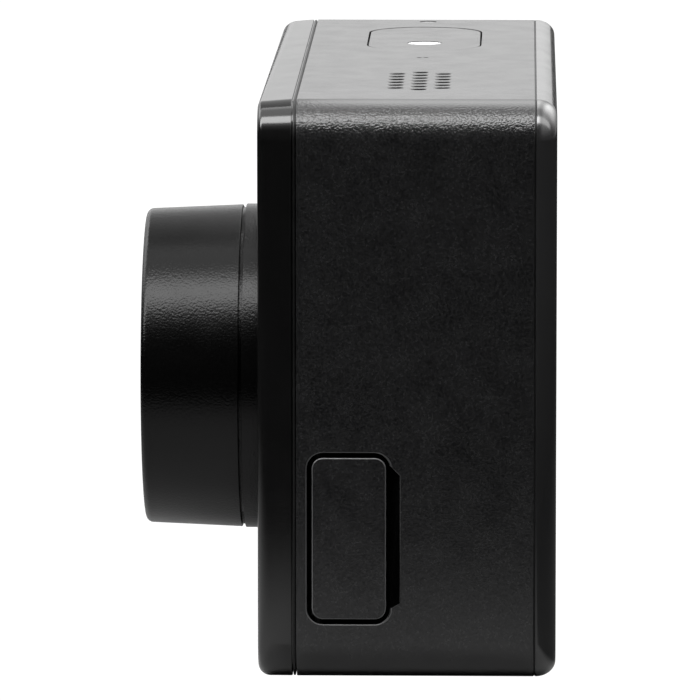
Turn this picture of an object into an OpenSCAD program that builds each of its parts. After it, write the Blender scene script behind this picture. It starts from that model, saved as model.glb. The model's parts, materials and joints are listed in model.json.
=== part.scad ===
// Action camera: a slim case with an off-centre lens, a shutter button and a speaker grille on
// top, a hinged port door on one side and a hinged battery door in the base.
// X runs along the width, -Y is the lens side and Z is up. The origin is the mouth of the
// tripod socket, in the middle of the base. All sizes are in millimetres.

/* [Case] */
// Width of the case
body_w = 65; // [64.5:0.5:68]
// Depth of the case without the lens
body_d = 21.5; // [21.2:0.05:22.4]
// Height of the case
body_h = 42; // [42:0.5:45]
// Radius of the four corners seen from the front
corner_r = 2.8; // [2.4:0.1:3.2]
// Thickness of the case walls
wall = 1.5; // [1.4:0.05:1.6]
// Length of the front cover along the depth
cover_len = 2.58; // [2.4:0.02:2.8]
// Rounding of the front cover's edge
cover_edge_r = 1.2; // [0.8:0.1:1.4]
// Length of the rear bezel along the depth
bezel_len = 1.5; // [1.4:0.05:1.6]
// Rounding of the rear bezel's edge
bezel_edge_r = 1.3; // [0.8:0.1:1.35]

/* [Lens] */
// Distance of the lens axis from the middle of the case
lens_x = 17.5; // [16.5:0.5:17.5]
// Height of the lens axis above the base
lens_z = 20.95; // [20.5:0.05:21.5]
// How far the lens barrel stands out of the case
lens_out = 8.57; // [8.3:0.01:9.5]
// Radius of the barrel at its front rim
barrel_front_r = 11.56; // [11.4:0.01:11.7]
// Radius of the barrel at its rear end
barrel_rear_r = 11.86; // [11.8:0.01:12]
// Thickness of the base ring between the case and the barrel
base_ring_t = 1.3; // [1.1:0.1:1.5]

/* [Shutter button] */
// Length of the button
button_l = 18.5; // [16:0.5:18.5]
// Width of the button
button_w = 8.54; // [8:0.02:8.8]
// Distance of the button's centre to the left of the middle
button_x = -14.55; // [-14.6:0.05:-14.4]
// How far the button goes down
button_travel = 0.4; // [0.2:0.1:0.4]
// Radius of the round light in the button
light_r = 1.32; // [1:0.01:1.4]

/* [Speaker grille] */
// Distance between neighbouring holes of a row
grille_pitch = 2; // [1.9:0.05:2.1]
// Distance between rows
grille_row = 1.7; // [1.5:0.05:1.8]
// Radius of a grille hole
grille_hole_r = 0.55; // [0.4:0.05:0.6]
// Holes in the middle row
grille_holes = 7; // [5:2:7]

/* [Port door] */
// Width of the door in the side
port_w = 5.34; // [5.3:0.01:5.4]
// Height of the door in the side
port_h = 11.77; // [11.5:0.01:12]
// Thickness of the door's panel
port_t = 0.8; // [0.7:0.05:0.85]
// Gap round the door
port_gap = 0.36; // [0.3:0.01:0.38]

/* [Battery] */
// Width of the battery
battery_w = 20; // [18:0.5:20]
// Thickness of the battery
battery_t = 9.6; // [8:0.2:9.6]
// Height of the battery
battery_h = 31.2; // [28:0.2:31.2]

/* [Tripod socket] */
// Radius of the threaded hole inside its thread
socket_r = 2.6; // [2.5:0.05:2.7]
// Depth of the threaded hole
socket_depth = 5.5; // [5:0.5:5.5]

/* [Hidden] */
$fn = 64;

eps = 0.1;              // overshoot of a cut past the face it opens
fit = 0.02;             // clearance of a fixed pin, screw or window in its hole
run_fit = 0.04;         // clearance of a hinge pin in the part that turns on it
front_y = -body_d / 2;
rear_y = body_d / 2;
side_x = body_w / 2;
mid_z = body_h / 2;
inner_x = side_x - wall;
inner_top = body_h - wall;
cover_back = front_y + cover_len;
gasket_t = 0.22;
rear_gasket_t = 0.1;
frame_front = cover_back + gasket_t;
frame_rear = rear_y - bezel_len - rear_gasket_t;
cover_t = 1.3;          // thickness of the front cover's face
cover_in = front_y + cover_t;

// Boards and screen, as layers from front to rear
sensor_y = 3.6;
board_t = 0.8;
main_y = 6.4;
screen_t = 0.92;
screen_size = [60, 37];

// Screws: places as [x, z] seen from the front
case_posts = [[-29.4, 38.3], [28.8, 38.3], [27.8, 3.4], [-29.55, 8]];
post_r = 1.4;
screw_r = 0.7;
screw_head_r = 1.3;
screw_y = 8;
board_posts = [[-2, 39], [7.5, 39], [8, 3], [22, 3]];
board_post_r = 1.6;
small_screw_r = 0.5;
small_head_r = 0.95;
sensor_reach = 9;       // sensor screws' distance from the lens axis along X and Z
sensor_posts = [for (s = [[-1, -1], [-1, 1], [1, 1]])
    [lens_x + s[0] * sensor_reach, lens_z + s[1] * sensor_reach]];
hanger_x = [-25.9, -3.2];

// Lens, from front to rear
barrel_y = front_y - lens_out;
rim_r = 0.45;
ring_front = front_y - base_ring_t;
barrel_rear = ring_front - 0.2;
barrel_bore = 10.55;
base_ring_r = barrel_rear_r + 0.06;
lip_r = 9.4;
glass_y = barrel_y + 2.27;
glass_t = 0.78;
neck_r = 10.45;
throat_r = 9.3;
cover_hole_r = 10.1;
element_r = [7, 5, 3.9];
housing_r = [8.6, 7.4, 6];
mount_half = 8;

// Shutter button
button_y = 0.7;
button_top = body_h - 0.02;
button_gap = 0.12;
flange_out = 0.55;
flange_top = inner_top - 0.2;
flange_t = 0.6;
plunger_z = 38.9;       // underside of the button's post, on top of the switch's plunger
plunger_low = 38.15;
switch_z = 37.3;
light_x = -11.35;

// Speaker grille
grille_x = 17.1;
grille_y = 0.7;

// Port door
port_y0 = -6.82;
port_z0 = 4.55;
port_r = 0.8;
port_pin = [side_x - 0.5, port_y0 + 0.45];
port_pin_r = 0.25;
port_barrel_r = 0.47;
port_mid = [port_y0 + port_w / 2, port_z0 + port_h / 2];
port_hole = [3.6, 9.4];
port_plug = [2.7, 8.4];
port_block_x = 29.6;
notch_out = 0.98;         // how far the finger notch reaches past the door

// Battery door
hinge_x = -28.9;
hinge_z = 1.25;
hinge_r = 1.2;
hinge_pin_r = 0.5;
hinge_knuckle = 2;      // half the length of the case's own knuckle
door_x1 = -6.3;
door_half = 6.65;
door_z0 = 0.02;
door_t = 1.6;
door_gap = 0.15;
hatch = [[-27.5, -6.4], [-6.9, 6.4]];
floor_top = 3.3;
battery_x0 = -27.2;
battery_y0 = -6.2;
battery_z0 = 2.8;

// Latch in the battery door
latch_travel = 1.2;
latch_pad = [3.6, 5.6];
latch_pad_x = -12.6;
bolt_half = 1.5;

function stadium_side(size) = size[1] - size[0];

// Rectangle with rounded corners, centred
module round_rect(w, h, r) {
    square([w - 2 * r, h], center = true);
    square([w, h - 2 * r], center = true);
    for (x = [-1, 1], y = [-1, 1])
        translate([x * (w / 2 - r), y * (h / 2 - r)]) circle(r);
}

// Slot with round ends, centred, longer along Y
module stadium(w, h) {
    square([w, stadium_side([w, h])], center = true);
    for (s = [-1, 1]) translate([0, s * stadium_side([w, h]) / 2]) circle(w / 2);
}

// Box between two opposite corners
module block(lo, hi) {
    translate(lo) cube(hi - lo);
}

// Extrusions of an outline drawn as [y, z], [x, z] and [x, y]
module along_x(x0, x1) {
    translate([x0, 0, 0]) rotate([90, 0, 90]) linear_extrude(x1 - x0) children();
}
module along_y(y0, y1) {
    translate([0, y1, 0]) rotate([90, 0, 0]) linear_extrude(y1 - y0) children();
}
module along_z(z0, z1) {
    translate([0, 0, z0]) linear_extrude(z1 - z0) children();
}

// Straight round rods
module rod_y(x, z, r, y0, y1) {
    along_y(y0, y1) translate([x, z]) circle(r);
}
module rod_z(x, y, r, z0, z1) {
    along_z(z0, z1) translate([x, y]) circle(r);
}

// Body turned about the lens axis, from a section drawn as [radius, y]
module lens_turn() {
    translate([lens_x, 0, lens_z]) rotate([-90, 0, 0]) rotate_extrude() children();
}
module ring(r0, r1, y0, y1) {
    lens_turn() translate([r0, y0]) square([r1 - r0, y1 - y0]);
}
module disc(r, y0, y1) {
    rod_y(lens_x, lens_z, r, y0, y1);
}

// Outline of the case seen from the front, drawn in by an inset
module case_outline(inset) {
    translate([0, mid_z])
        round_rect(body_w - 2 * inset, body_h - 2 * inset, max(corner_r - inset, 0.5));
}

// Slice of the case from y0 to y1 whose edges at one end are rounded
module case_end(y0, y1, r, end) {
    long = 30;
    skin = 0.03;
    y_mid = end < 0 ? y0 + long / 2 : y1 - long / 2;
    intersection() {
        along_y(y0, y1) case_outline(0);
        along_x(-side_x - 1, side_x + 1)
            translate([y_mid, mid_z]) round_rect(long, body_h + 2 * skin, r);
        along_z(-1, body_h + 1)
            translate([0, y_mid]) round_rect(body_w + 2 * skin, long, r);
    }
}

module case_ring(y0, y1, outer, inner) {
    difference() {
        along_y(y0, y1) case_outline(outer);
        along_y(y0 - eps, y1 + eps) case_outline(inner);
    }
}

// Screw along Y with its head at the rear
module screw_y(x, z, r, head_r, head_t, y0, y1) {
    rod_y(x, z, r, y0, y1);
    rod_y(x, z, head_r, y1, y1 + head_t);
}

module front_cover() {
    color([0.07, 0.07, 0.075]) difference() {
        union() {
            difference() {
                case_end(front_y, cover_back, cover_edge_r, -1);
                along_y(cover_in, cover_back + eps) case_outline(wall);
            }
            for (p = case_posts) rod_y(p[0], p[1], post_r, cover_in - eps, frame_front - fit);
            for (p = sensor_posts) rod_y(p[0], p[1], 1.1, cover_in - eps, sensor_y - fit);
        }
        disc(cover_hole_r, front_y - 1, cover_in + 1);
        for (p = case_posts) rod_y(p[0], p[1], screw_r + fit, cover_in, frame_front + eps);
        for (p = sensor_posts)
            rod_y(p[0], p[1], small_screw_r + fit, sensor_y - 4, sensor_y + eps);
        rod_y(-22, 33, 1.2 + fit, front_y - 1, cover_in + 1);
    }
}

module seam_gasket() {
    color([0.03, 0.03, 0.03]) case_ring(cover_back, frame_front, 0.12, wall);
}

module button_outline(grow) {
    translate([button_x, button_y]) rotate(90)
        stadium(button_w + 2 * grow, button_l + 2 * grow);
}

// Shallow notch beside the door for a fingernail, with slanted ends
module finger_notch() {
    y = port_y0 + port_w;
    polygon([
        [y - 0.9, port_mid[1] - 5.1],
        [y + 0.3, port_mid[1] - 5.1],
        [y + notch_out, port_mid[1] - 4.7],
        [y + notch_out, port_mid[1] + 4.6],
        [y + 0.3, port_mid[1] + 5.3],
        [y - 0.9, port_mid[1] + 5.3]
    ]);
}

// Recess of the port door with its finger notch, hinge trough, pin holes and port
module port_cut() {
    floor_x = side_x - port_t - 0.15;
    rx = port_w + port_gap + 0.28;
    along_x(floor_x, side_x + 1) translate([port_y0 - port_gap + rx / 2, port_mid[1]])
        round_rect(rx, port_h + 2 * port_gap, port_r + port_gap);
    along_x(side_x - 0.6, side_x + 1) finger_notch();
    rod_z(port_pin[0], port_pin[1], port_barrel_r + 0.15, port_z0 + 0.2, port_z0 + port_h - 0.2);
    rod_z(port_pin[0], port_pin[1], port_pin_r + fit, port_z0 - 1.1, port_z0 + port_h + 1.1);
    along_x(port_block_x - 1, side_x) translate(port_mid) stadium(port_hole[0], port_hole[1]);
}

// Pocket of the battery door, its hinge, the hatch above it and the latch keeper
module door_cut() {
    block([hinge_x, -door_half - door_gap, -1],
        [door_x1 + door_gap, door_half + door_gap, door_z0 + door_t + 0.13]);
    block([hinge_x - hinge_r - 0.3, -door_half - door_gap, -1],
        [hinge_x + eps, door_half + door_gap, hinge_z]);
    rod_y(hinge_x, hinge_z, hinge_r + 0.15, -door_half - door_gap, door_half + door_gap);
    block([hatch[0][0], hatch[0][1], 0], [hatch[1][0], hatch[1][1], floor_top + 1]);
    block([door_x1, -bolt_half - 0.3, 0.65], [-4.9, bolt_half + 0.3, 1.4]);
}

// Knuckle of the case between the two of the battery door
module case_knuckle() {
    rod_y(hinge_x, hinge_z, hinge_r, -hinge_knuckle, hinge_knuckle);
    block([hinge_x - hinge_r - 0.5, -hinge_knuckle, hinge_z + 0.35],
        [hinge_x + 0.5, hinge_knuckle, floor_top - eps]);
}

module grille_cut() {
    for (row = [-1:1]) {
        count = row == 0 ? grille_holes : grille_holes - 1;
        for (i = [0:count - 1])
            rod_z(grille_x + (i - (count - 1) / 2) * grille_pitch, grille_y + row * grille_row,
                grille_hole_r, inner_top - eps, body_h + 1);
    }
}

module mid_frame() {
    color([0.045, 0.045, 0.05]) difference() {
        union() {
            difference() {
                union() {
                    case_ring(frame_front, frame_rear, 0, wall);
                    block([-inner_x - eps, frame_front, wall - eps], [-5.1, 6.9, floor_top]);
                    block([port_block_x, frame_front, 2.6], [inner_x + eps, 0.3, 17.9]);
                    for (p = case_posts) rod_y(p[0], p[1], post_r, frame_front, screw_y);
                    block([-inner_x - eps, -6, 37], [-29.4, screw_y, 39.6]);
                    block([28.8, -6, 37], [inner_x + eps, screw_y, 39.6]);
                    block([-inner_x - eps, -6, 6.7], [-29.55, screw_y, 9.3]);
                    block([26.6, -6, wall - eps], [29, screw_y, 3.4]);
                    for (p = board_posts) rod_y(p[0], p[1], board_post_r, 2.6, main_y);
                    for (x = hanger_x) rod_z(x, button_y, 1, switch_z, inner_top + eps);
                }
                door_cut();
            }
            case_knuckle();
        }
        port_cut();
        grille_cut();
        for (p = case_posts)
            rod_y(p[0], p[1], screw_r + fit, frame_front - eps, screw_y + eps);
        for (p = board_posts) rod_y(p[0], p[1], small_screw_r + fit, 4, main_y + eps);
        for (x = hanger_x)
            rod_z(x, button_y, small_screw_r + fit, switch_z - eps, switch_z + 2);
        rod_y(hinge_x, hinge_z, hinge_pin_r + fit, -7.4, 7.4);
        rod_z(0, 0, 4.2 + fit, -1, wall + 1);
        along_z(inner_top - eps, body_h + 1) button_outline(button_gap);
        along_z(inner_top + 0.45, inner_top + 0.95) button_outline(0.6);
        rod_z(-28.1, 0.78, 0.65 + fit, inner_top - 0.6, body_h + 1);
        for (y = [0.45, 0.95]) rod_z(0.2, y, 0.19, inner_top - eps, body_h + 1);
    }
}

module rear_gasket() {
    color([0.03, 0.03, 0.03]) case_ring(frame_rear, frame_rear + rear_gasket_t, 0.2, wall);
}

module rear_bezel() {
    y0 = rear_y - bezel_len;
    color([0.1, 0.1, 0.105]) difference() {
        case_end(y0, rear_y, bezel_edge_r, 1);
        along_y(y0 + 0.5, rear_y + 1) translate([0, mid_z])
            round_rect(screen_size[0] + 0.3, screen_size[1] + 0.3, 1.6);
        along_y(y0 - 1, rear_y) translate([0, mid_z]) round_rect(55, 34, 1);
    }
}

module screen_glass() {
    color([0.02, 0.02, 0.03]) along_y(rear_y - 0.05 - screen_t, rear_y - 0.05)
        translate([0, mid_z]) round_rect(screen_size[0], screen_size[1], 1.45);
}

module lcd_panel() {
    color([0.12, 0.13, 0.16]) along_y(7.7, 9.6) translate([0, mid_z]) round_rect(52, 33, 0.8);
}

module case_screws() {
    color("silver") for (p = case_posts)
        screw_y(p[0], p[1], screw_r, screw_head_r, 0.8, cover_in + 0.15, screw_y);
}

module lens_base_ring() {
    color([0.06, 0.06, 0.065]) lens_turn() {
        translate([throat_r, ring_front]) square([base_ring_r - throat_r, base_ring_t]);
        translate([throat_r, glass_y + glass_t + 0.62])
            square([neck_r - throat_r, ring_front - glass_y - glass_t - 0.6]);
        translate([throat_r, front_y - eps]) square([10 - throat_r, 2.15]);
    }
}

module lens_retainer() {
    color([0.1, 0.1, 0.1]) ring(10 + fit, 11, cover_in + fit, cover_in + 0.7);
}

module lens_barrel() {
    color([0.05, 0.05, 0.055]) lens_turn() {
        polygon([
            [10.4, barrel_y],
            [barrel_front_r - rim_r, barrel_y],
            [barrel_front_r - rim_r, barrel_y + rim_r],
            [barrel_front_r, barrel_y + rim_r],
            [barrel_rear_r, barrel_rear],
            [barrel_bore, barrel_rear],
            [barrel_bore, glass_y - fit],
            [lip_r, glass_y - fit],
            [lip_r, barrel_y + 1.25]
        ]);
        translate([barrel_front_r - rim_r, barrel_y + rim_r]) circle(rim_r);
    }
}

module lens_trim_ring() {
    color([0.12, 0.12, 0.12]) ring(8, lip_r - fit, glass_y - 0.95, glass_y - fit);
}

module lens_cover_glass() {
    color([0.2, 0.22, 0.28]) disc(neck_r - 0.03, glass_y, glass_y + glass_t);
}

module lens_seal() {
    color([0.03, 0.03, 0.03]) ring(9.5, neck_r - 0.05, glass_y + glass_t, glass_y + glass_t + 0.6);
}

// The lens tube, stepped outside and bored for its three groups of elements
module lens_housing() {
    front = glass_y + glass_t + 0.75;
    color([0.05, 0.05, 0.05]) lens_turn() polygon([
        [element_r[0] + 0.05, front],
        [housing_r[0], front],
        [housing_r[0], -10],
        [housing_r[1], -10],
        [housing_r[1], -4],
        [housing_r[2], -4],
        [housing_r[2], 1],
        [element_r[2] + 0.05, 1],
        [element_r[2] + 0.05, -3.4],
        [element_r[1] + 0.05, -3.4],
        [element_r[1] + 0.05, -12],
        [element_r[0] + 0.05, -12]
    ]);
}

// Half section of a lens: rim thickness t, each face bulging out by its own amount
module lens_section(r, y, t, bulge_front, bulge_rear) {
    ball_f = (r * r + bulge_front * bulge_front) / (2 * bulge_front);
    ball_r = (r * r + bulge_rear * bulge_rear) / (2 * abs(bulge_rear));
    intersection() {
        translate([0, y - bulge_front]) square([r, t + bulge_front + max(bulge_rear, 0)]);
        translate([0, y - bulge_front + ball_f]) circle(ball_f, $fn = 400);
        if (bulge_rear > 0) translate([0, y + t + bulge_rear - ball_r]) circle(ball_r, $fn = 400);
        if (bulge_rear < 0) difference() {
            translate([-1, y - 2 * t]) square([r + 2, 4 * t]);
            translate([0, y + t + bulge_rear + ball_r]) circle(ball_r, $fn = 400);
        }
    }
}

module front_element() {
    color([0.25, 0.3, 0.4]) lens_turn()
        lens_section(element_r[0], -13.8, 1.5, 1.4, -0.9);
}

module middle_elements() {
    color([0.3, 0.32, 0.35]) {
        lens_turn() lens_section(element_r[1], -9.4, 1.6, 0.8, 0.5);
        lens_turn() lens_section(element_r[1], -6, 1.4, 0.6, 0.7);
    }
}

module rear_element() {
    color([0.3, 0.3, 0.36]) lens_turn() lens_section(element_r[2], -1, 1.2, 0.6, 0.4);
}

module lens_mount() {
    color([0.08, 0.08, 0.08]) difference() {
        along_y(-1.5, sensor_y - fit) translate([lens_x, lens_z])
            square(2 * mount_half, center = true);
        disc(housing_r[2] + 0.05, -2, 1.2);
        along_y(1.1, sensor_y + eps) translate([lens_x, lens_z]) square([9.6, 8.6], center = true);
    }
}

module ir_filter() {
    color([0.3, 0.5, 0.5]) along_y(1.3, 1.6) translate([lens_x, lens_z])
        square([9.4, 8.4], center = true);
}

module image_sensor() {
    color([0.15, 0.12, 0.2]) along_y(sensor_y - 1.1, sensor_y - fit)
        translate([lens_x, lens_z]) square([8.6, 7.4], center = true);
}

module sensor_board() {
    half = sensor_reach + 1.2;
    color([0.05, 0.3, 0.15]) difference() {
        along_y(sensor_y, sensor_y + board_t) translate([lens_x, lens_z])
            round_rect(2 * half, 2 * half, 0.8);
        for (p = sensor_posts)
            rod_y(p[0], p[1], small_screw_r + 0.05, sensor_y - 1, sensor_y + board_t + 1);
    }
}

module sensor_screws() {
    y1 = sensor_y + board_t + fit;
    color("silver") for (p = sensor_posts)
        screw_y(p[0], p[1], small_screw_r, small_head_r, 0.45, y1 - 3.5, y1);
}

// Flat cable folded back from one board to the one behind it
module sensor_cable() {
    y0 = sensor_y + board_t + fit;
    edge = lens_x + sensor_reach + 1.2;
    color([0.6, 0.35, 0.1]) difference() {
        block([edge - 1.6, y0, 17], [edge + 0.9, main_y - fit, 25]);
        block([edge - 1.7, y0 + 0.2, 16.9], [edge + 0.7, main_y - fit - 0.2, 25.1]);
    }
}

module main_board() {
    color([0.05, 0.3, 0.15]) difference() {
        along_y(main_y, main_y + board_t) {
            translate([-26.2, 3.7]) square([52.4, 36.4]);
            translate([-4.8, 1.7]) square([30.5, 3]);
        }
        for (p = board_posts)
            rod_y(p[0], p[1], small_screw_r + 0.05, main_y - 1, main_y + board_t + 1);
    }
}

module board_screws() {
    y1 = main_y + board_t + fit;
    color("silver") {
        for (p = board_posts)
            screw_y(p[0], p[1], small_screw_r, small_head_r, 0.4, y1 - 2.8, y1);
        for (x = hanger_x) {
            rod_z(x, button_y, small_screw_r, switch_z - 0.7, switch_z + 1.8);
            rod_z(x, button_y, small_head_r, switch_z - 1.1, switch_z - 0.6 - fit);
        }
    }
}

module processor_shield() {
    color("silver") difference() {
        block([-4.5, 4.6, 12], [6.8, main_y - fit, 32]);
        block([-4.2, 4.9, 12.3], [6.5, main_y + 1, 31.7]);
    }
}

module heat_spreader() {
    y0 = main_y + board_t + fit;
    color([0.8, 0.5, 0.35]) block([-20, y0, 9], [20, y0 + 0.35, 34]);
}

module card_slot() {
    color("silver") difference() {
        block([-23.5, 4.6, 3.7], [-9.5, main_y - fit, 18.9]);
        block([-22.1, 5, 3], [-10.9, 5.9, 18.3]);
    }
}

module memory_card() {
    color([0.1, 0.1, 0.12]) along_y(5.1, 5.8) translate([-16.5, 10.6]) round_rect(11, 15, 0.6);
}

module battery() {
    color([0.2, 0.21, 0.23]) along_z(battery_z0, battery_z0 + battery_h)
        translate([battery_x0 + battery_w / 2, battery_y0 + battery_t / 2])
            round_rect(battery_w, battery_t, 1.2);
}

contact_xs = [-24, -21, -18];

module battery_cradle() {
    lo = [battery_x0 - 0.2, battery_y0 - 0.2];
    hi = [battery_x0 + battery_w + 0.2, battery_y0 + battery_t + 0.2];
    top = battery_z0 + battery_h + 0.4;
    t = 0.65;
    color([0.12, 0.12, 0.13]) difference() {
        block([lo[0] - t, lo[1] - t, floor_top + fit], [hi[0] + t, hi[1] + t, top + 0.8]);
        block([lo[0], lo[1], 0], [hi[0], hi[1], top]);
        for (x = contact_xs) block([x - 0.4, -2.5, top - 1], [x + 0.4, 0.5, top + 1]);
    }
}

module battery_contacts() {
    top = battery_z0 + battery_h;
    color([0.85, 0.65, 0.3]) for (x = contact_xs)
        block([x - 0.3, -2.3, top + fit], [x + 0.3, 0.3, top + 1.8]);
}

// Receptacle with a hollow shell and a thin tongue on its back wall
module usb_connector() {
    x0 = 22.9;
    x1 = 30.2;
    color("silver") difference() {
        along_x(x0, x1) translate(port_mid) round_rect(3.26, 8.94, 1.2);
        along_x(x0 + 1, x1 + eps) translate(port_mid) difference() {
            round_rect(2.6, 8.3, 1);
            square([0.7, 6.7], center = true);
        }
        along_x(x1 - 0.9, x1 + eps) translate(port_mid) round_rect(2.6, 8.3, 1);
    }
}

module usb_board() {
    color([0.05, 0.3, 0.15]) block([23.2, -2.48, 5], [29.3, -1.7, 15.4]);
}

module usb_cable() {
    color([0.6, 0.35, 0.1]) {
        block([28.95, -1.68, 7], [29.1, main_y - fit, 12]);
        block([27.6, -1.68, 7], [29.1, -1.53, 12]);
        block([25.6, main_y - fit - 0.15, 7], [29.1, main_y - fit, 12]);
    }
}

module speaker() {
    color([0.15, 0.15, 0.16]) difference() {
        along_z(36.6, 39.9) translate([grille_x, grille_y]) round_rect(15, 7.2, 1.5);
        along_z(39.3, 40) translate([grille_x, grille_y]) round_rect(12, 5, 2);
    }
}

module speaker_mesh() {
    color([0.3, 0.3, 0.3]) along_z(inner_top - 0.25, inner_top - 0.05)
        translate([grille_x, grille_y]) round_rect(14.4, 6.4, 1);
}

module microphone() {
    color([0.1, 0.1, 0.1]) rod_z(0.2, 0.7, 1.6, switch_z + fit, inner_top - 0.05);
}

module button_board() {
    color([0.05, 0.3, 0.15]) difference() {
        block([-27, -3.3, switch_z - 0.6], [3, 4.7, switch_z - fit]);
        for (x = hanger_x)
            rod_z(x, button_y, small_screw_r + 0.05, switch_z - 2, switch_z + 1);
    }
}

module button_cable() {
    z = switch_z - 0.6;
    color([0.6, 0.35, 0.1]) {
        block([-20, 2.5, z - 0.17], [-15, main_y - fit, z - fit]);
        block([-20, main_y - fit - 0.15, 26], [-15, main_y - fit, z - fit]);
    }
}

module button_led() {
    color("white")
        block([light_x - 0.8, button_y - 0.8, switch_z], [light_x + 0.8, button_y + 0.8, 38.5]);
}

module shutter_switch() {
    color("silver") difference() {
        block([button_x - 2.2, button_y - 2.2, switch_z], [button_x + 2.2, button_y + 2.2, 38.4]);
        rod_z(button_x, button_y, 1 + 0.06, plunger_low - button_travel - 0.05, 39);
    }
}

module wifi_antenna() {
    color([0.6, 0.35, 0.1]) block([inner_x - 0.6, -4, 20], [inner_x - 0.2, 5, 33]);
}

module top_light() {
    color([0.15, 0.15, 0.15]) rod_z(-28.1, 0.78, 0.65, inner_top - 0.55, button_top);
}

module front_light() {
    color([0.15, 0.15, 0.16]) rod_y(-22, 33, 1.2, front_y + 0.03, cover_in + 0.6);
}

module tripod_nut() {
    color([0.55, 0.55, 0.56]) difference() {
        union() {
            rod_z(0, 0, 4.2, 0, 6.5);
            rod_z(0, 0, 4.8, wall + fit, wall + 1);
        }
        rod_z(0, 0, socket_r, -1, socket_depth);
    }
}

module shutter_button() {
    color([0.05, 0.05, 0.055]) difference() {
        union() {
            along_z(flange_top - eps, button_top) button_outline(0);
            along_z(flange_top - flange_t, flange_top) button_outline(flange_out);
            rod_z(button_x, button_y, 1, plunger_z, flange_top);
        }
        rod_z(light_x, button_y, light_r + fit, flange_top - 1, body_h + 1);
    }
}

module button_light() {
    color("white") rod_z(light_x, button_y, light_r, flange_top - flange_t - 0.4, button_top - 0.02);
}

module switch_plunger() {
    color([0.1, 0.1, 0.1]) rod_z(button_x, button_y, 1, plunger_low, plunger_z - fit);
}

module button_seal() {
    color([0.03, 0.03, 0.03]) difference() {
        along_z(inner_top + 0.47, inner_top + 0.93) button_outline(0.58);
        along_z(inner_top, body_h) button_outline(0.04);
    }
}

module battery_door() {
    knuckle = hinge_knuckle + 0.15;
    top = door_z0 + door_t;
    color([0.05, 0.05, 0.055]) difference() {
        union() {
            block([hinge_x, -door_half, door_z0], [door_x1, door_half, top]);
            rod_y(hinge_x, hinge_z, hinge_r, -door_half, door_half);
        }
        block([hinge_x - 2, -knuckle, -1], [hinge_x + hinge_r + 0.15, knuckle, 4]);
        rod_y(hinge_x, hinge_z, hinge_pin_r + run_fit, -8, 8);
        block([latch_pad_x - 0.15, -latch_pad[1] / 2 - 0.1, -1],
            [latch_pad_x + latch_pad[0] + latch_travel + 0.15, latch_pad[1] / 2 + 0.1, 0.82]);
        block([latch_pad_x - 0.15, -bolt_half - 0.1, 0.5], [0, bolt_half + 0.1, 1.3]);
    }
}

module battery_door_seal() {
    z = door_z0 + door_t;
    lo = [hatch[0][0] + 0.3, hatch[0][1] + 0.25];
    hi = [hatch[1][0] - 0.25, hatch[1][1] - 0.25];
    color([0.03, 0.03, 0.03]) difference() {
        block([lo[0], lo[1], z], [hi[0], hi[1], z + 0.8]);
        block([lo[0] + 0.9, lo[1] + 0.9, z - 1], [hi[0] - 0.9, hi[1] - 0.9, z + 1]);
    }
}

module battery_door_pin() {
    color("silver") rod_y(hinge_x, hinge_z, hinge_pin_r, -7.35, 7.35);
}

// Slide with a ribbed thumb pad and a flat bolt that runs inside the door
module door_latch() {
    pad_x1 = latch_pad_x + latch_pad[0];
    color([0.2, 0.2, 0.21]) {
        difference() {
            block([latch_pad_x, -latch_pad[1] / 2, 0.12], [pad_x1, latch_pad[1] / 2, 0.78]);
            for (i = [1:4]) block([latch_pad_x + i * 0.72 - 0.15, -2.3, 0],
                [latch_pad_x + i * 0.72 + 0.15, 2.3, 0.3]);
        }
        block([latch_pad_x, -bolt_half, 0.7], [door_x1 - 0.1, bolt_half, 1.26]);
    }
}

module usb_door() {
    x0 = side_x - port_t;
    chamfer = 0.15;
    y1 = port_y0 + port_w;
    color([0.05, 0.05, 0.055]) difference() {
        union() {
            intersection() {
                along_x(x0, side_x - fit) translate(port_mid) round_rect(port_w, port_h, port_r);
                along_z(0, body_h) polygon([
                    [x0 - 1, port_y0 - 1],
                    [x0 - 1, y1 + 1],
                    [side_x, y1 + 1],
                    [side_x, port_y0 + chamfer],
                    [side_x - chamfer, port_y0],
                    [side_x - chamfer, port_y0 - 1]
                ]);
            }
            rod_z(port_pin[0], port_pin[1], port_barrel_r, port_z0 + 1, port_z0 + port_h - 1);
        }
        rod_z(port_pin[0], port_pin[1], port_pin_r + run_fit, 0, body_h);
    }
}

module usb_door_seal() {
    x1 = side_x - port_t;
    color([0.03, 0.03, 0.03]) difference() {
        along_x(x1 - 1.1, x1) translate(port_mid) stadium(port_plug[0], port_plug[1]);
        along_x(x1 - 2, x1 - 0.4) translate(port_mid) stadium(1.3, 7);
    }
}

module usb_door_pin() {
    color("silver")
        rod_z(port_pin[0], port_pin[1], port_pin_r, port_z0 - 1.05, port_z0 + port_h + 1.05);
}

front_cover();
seam_gasket();
mid_frame();
rear_gasket();
rear_bezel();
screen_glass();
lcd_panel();
case_screws();
lens_base_ring();
lens_retainer();
lens_barrel();
lens_trim_ring();
lens_cover_glass();
lens_seal();
lens_housing();
front_element();
middle_elements();
rear_element();
lens_mount();
ir_filter();
image_sensor();
sensor_board();
sensor_cable();
sensor_screws();
main_board();
board_screws();
processor_shield();
heat_spreader();
card_slot();
memory_card();
battery();
battery_cradle();
battery_contacts();
usb_connector();
usb_board();
usb_cable();
speaker();
speaker_mesh();
microphone();
button_board();
button_cable();
button_led();
shutter_switch();
wifi_antenna();
top_light();
front_light();
tripod_nut();
shutter_button();
button_light();
switch_plunger();
button_seal();
battery_door();
battery_door_seal();
battery_door_pin();
door_latch();
usb_door();
usb_door_seal();
usb_door_pin();
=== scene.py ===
"""Action camera: the looks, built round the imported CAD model.

Sizes are in millimetres in the values and helpers below, and MM turns them into metres.
X runs along the width, -Y is the lens side and Z is up, as in the CAD model.
"""
import json
import math

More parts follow.
